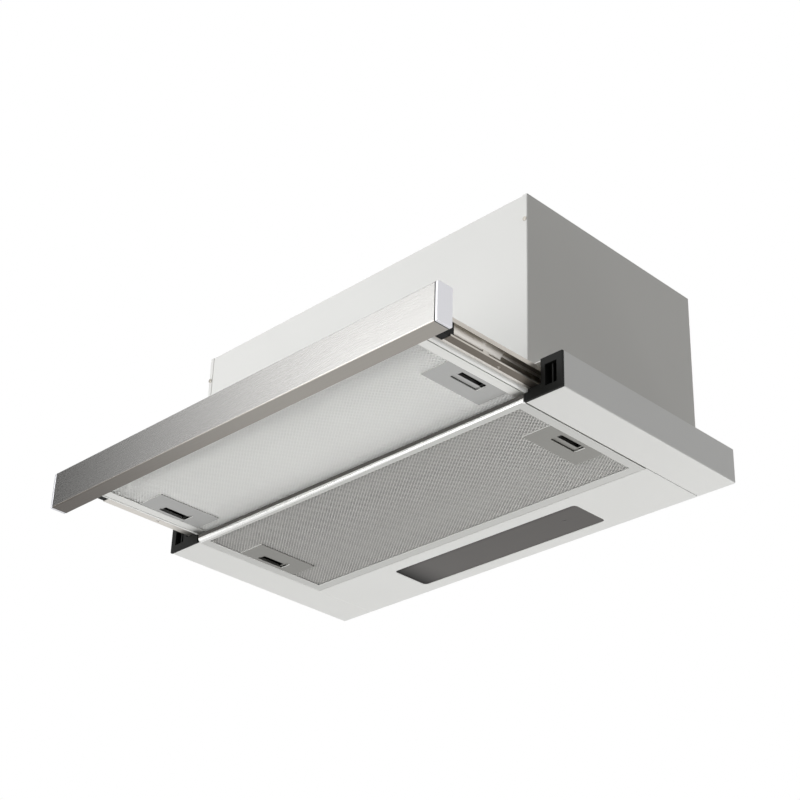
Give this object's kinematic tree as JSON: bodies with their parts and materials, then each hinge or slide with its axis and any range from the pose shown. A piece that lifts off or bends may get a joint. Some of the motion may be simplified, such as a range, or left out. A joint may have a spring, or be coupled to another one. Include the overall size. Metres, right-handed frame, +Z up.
{
  "type": "built-in telescopic range hood",
  "caption": "Slim range hood for a wall cabinet: a filter tray slides out under a sheet-steel body with blower, light window and round duct outlet.",
  "frame": {"origin": "middle of the four cabinet fixing holes, on the top face of the base plate that meets the cabinet", "axes": "+X to the right seen from the front, +Y to the rear, +Z up; the tray slides along Y"},
  "size_m": [0.598, 0.4503, 0.294],
  "materials": {
    "white_paint": "smooth powder coat",
    "stainless": "brushed along its length",
    "zinc_steel": "zinc plated",
    "ball_steel": "polished",
    "filter_aluminium": "rolled mesh and folded frame",
    "black_plastic": "fine grain",
    "grey_plastic": "smooth",
    "housing_plastic": "moulded",
    "lens_plastic": "smoked diffuser",
    "board": "white solder resist",
    "motor_steel": "zinc plated case",
    "button_plastic": "smooth",
    "clear_glass": "clear float glass"
  },
  "bodies": {
    "hood": {"body_front_panel": "white_paint", "body_side_left": "white_paint", "body_side_right": "white_paint", "body_rear_panel": "white_paint", "body_top_panel": "white_paint", "base_top_plate": "white_paint", "base_channel_left": "white_paint", "base_channel_right": "white_paint", "base_rear_plate": "white_paint", "end_cap_left": "black_plastic", "end_cap_right": "black_plastic", "light_lens": "lens_plastic", "light_housing": "zinc_steel", "light_board": "board", "slide_rail_left": "zinc_steel", "slide_rail_right": "zinc_steel", "blower_housing": "housing_plastic", "motor": "motor_steel", "motor_bracket": "zinc_steel", "duct_outlet": "housing_plastic", "damper_pin": "zinc_steel", "capacitor": "grey_plastic", "terminal_box": "grey_plastic", "cable_gland": "black_plastic", "tray_switch": "black_plastic", "body_screws": "zinc_steel", "base_screws": "zinc_steel"},
    "tray": {"slide_runner_left": "zinc_steel", "slide_runner_right": "zinc_steel", "tray_side_left": "white_paint", "tray_side_right": "white_paint", "tray_cover": "clear_glass", "tray_front_beam": "white_paint", "tray_rear_tie": "white_paint", "front_panel": "stainless", "front_panel_ends": "grey_plastic", "runner_bracket_left": "black_plastic", "runner_bracket_right": "black_plastic", "control_housing": "black_plastic"},
    "cage_left": {"slide_cage_left": "zinc_steel", "slide_balls_left": "ball_steel"},
    "cage_right": {"slide_cage_right": "zinc_steel", "slide_balls_right": "ball_steel"},
    "filter": {"filter_frame": "filter_aluminium", "filter_mesh": "filter_aluminium", "filter_latch_plates": "grey_plastic"},
    "filter_latch_l": {"filter_latch_left": "grey_plastic"},
    "filter_latch_r": {"filter_latch_right": "grey_plastic"},
    "tray_filter": {"tray_filter_frame": "filter_aluminium", "tray_filter_mesh": "filter_aluminium", "tray_filter_latch_plates": "grey_plastic"},
    "tray_filter_latch_l": {"tray_filter_latch_left": "grey_plastic"},
    "tray_filter_latch_r": {"tray_filter_latch_right": "grey_plastic"},
    "speed_knob": {"speed_slider": "black_plastic"},
    "light_knob": {"light_slider": "black_plastic"},
    "wheel": {"blower_wheel": "housing_plastic", "motor_shaft": "zinc_steel"},
    "flap_front": {"damper_front": "housing_plastic"},
    "flap_rear": {"damper_rear": "housing_plastic"},
    "plunger": {"switch_plunger": "button_plastic"}
  },
  "joints": [
    {"name": "tray_slide", "type": "slide", "parent": "hood", "child": "tray", "axis": [0, -1, 0], "range_m": [-0.15, 0]},
    {"name": "cage_left_slide", "type": "slide", "parent": "hood", "child": "cage_left", "axis": [0, -1, 0], "range_m": [-0.075, 0]},
    {"name": "cage_right_slide", "type": "slide", "parent": "hood", "child": "cage_right", "axis": [0, -1, 0], "range_m": [-0.075, 0]},
    {"name": "filter_drop", "type": "slide", "parent": "hood", "child": "filter", "axis": [0, 0, -1], "range_m": [0, 0.06]},
    {"name": "filter_latch_left_slide", "type": "slide", "parent": "filter", "child": "filter_latch_l", "axis": [1, 0, 0], "range_m": [0, 0.006], "stiffness_N_per_m": 300, "springref_m": -0.004},
    {"name": "filter_latch_right_slide", "type": "slide", "parent": "filter", "child": "filter_latch_r", "axis": [-1, 0, 0], "range_m": [0, 0.006], "stiffness_N_per_m": 300, "springref_m": -0.004},
    {"name": "tray_filter_tilt", "type": "hinge", "parent": "tray", "child": "tray_filter", "pos_m": [0, -0.142, -0.03], "axis": [1, 0, 0], "range_deg": [0, 14]},
    {"name": "tray_filter_latch_left_slide", "type": "slide", "parent": "tray_filter", "child": "tray_filter_latch_l", "axis": [1, 0, 0], "range_m": [0, 0.006], "stiffness_N_per_m": 300, "springref_m": -0.004},
    {"name": "tray_filter_latch_right_slide", "type": "slide", "parent": "tray_filter", "child": "tray_filter_latch_r", "axis": [-1, 0, 0], "range_m": [0, 0.006], "stiffness_N_per_m": 300, "springref_m": -0.004},
    {"name": "speed_slide", "type": "slide", "parent": "tray", "child": "speed_knob", "axis": [1, 0, 0], "range_m": [0, 0.016]},
    {"name": "light_slide", "type": "slide", "parent": "tray", "child": "light_knob", "axis": [1, 0, 0], "range_m": [0, 0.008]},
    {"name": "wheel_spin", "type": "hinge", "parent": "hood", "child": "wheel", "pos_m": [0, -0.035, 0.111], "axis": [1, 0, 0], "continuous": true},
    {"name": "damper_front_swing", "type": "hinge", "parent": "hood", "child": "flap_front", "pos_m": [0, 0.039, 0.214], "axis": [-1, 0, 0], "range_deg": [0, 75]},
    {"name": "damper_rear_swing", "type": "hinge", "parent": "hood", "child": "flap_rear", "pos_m": [0, 0.039, 0.214], "axis": [1, 0, 0], "range_deg": [0, 75]},
    {"name": "switch_press", "type": "slide", "parent": "hood", "child": "plunger", "axis": [0, 1, 0], "range_m": [0, 0.0015], "stiffness_N_per_m": 200, "springref_m": -0.002}
  ],
  "couplings": [
    {"joint": "cage_left_slide", "follows": "tray_slide", "ratio": 0.5},
    {"joint": "cage_right_slide", "follows": "tray_slide", "ratio": 0.5}
  ]
}
